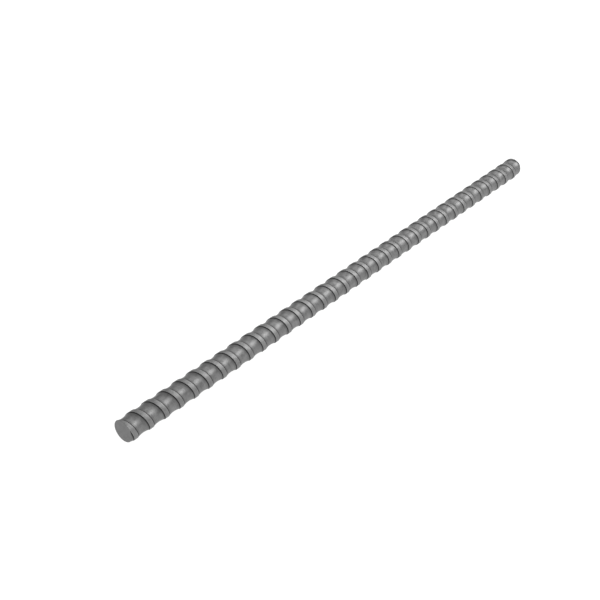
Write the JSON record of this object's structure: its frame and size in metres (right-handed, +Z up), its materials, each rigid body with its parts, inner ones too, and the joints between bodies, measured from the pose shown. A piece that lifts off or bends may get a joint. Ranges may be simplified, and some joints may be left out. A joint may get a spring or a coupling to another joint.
{
  "type": "ball screw shaft",
  "caption": "Straight steel ball screw shaft with a right-hand ball thread along its whole length and plain ends cut square.",
  "frame": {"origin": "centre of the start face, on the shaft's axis", "axes": "+X along the shaft's axis from the start face to the end face, +Z up as the shaft lies; the thread is right-hand about +X"},
  "size_m": [0.7, 0.0246, 0.0246],
  "materials": {
    "rolled_steel": "satin rolled steel, polished lands, finer grain along the thread's groove, turned end faces"
  },
  "bodies": {
    "root": {"screw_shaft": "rolled_steel"}
  },
  "joints": []
}
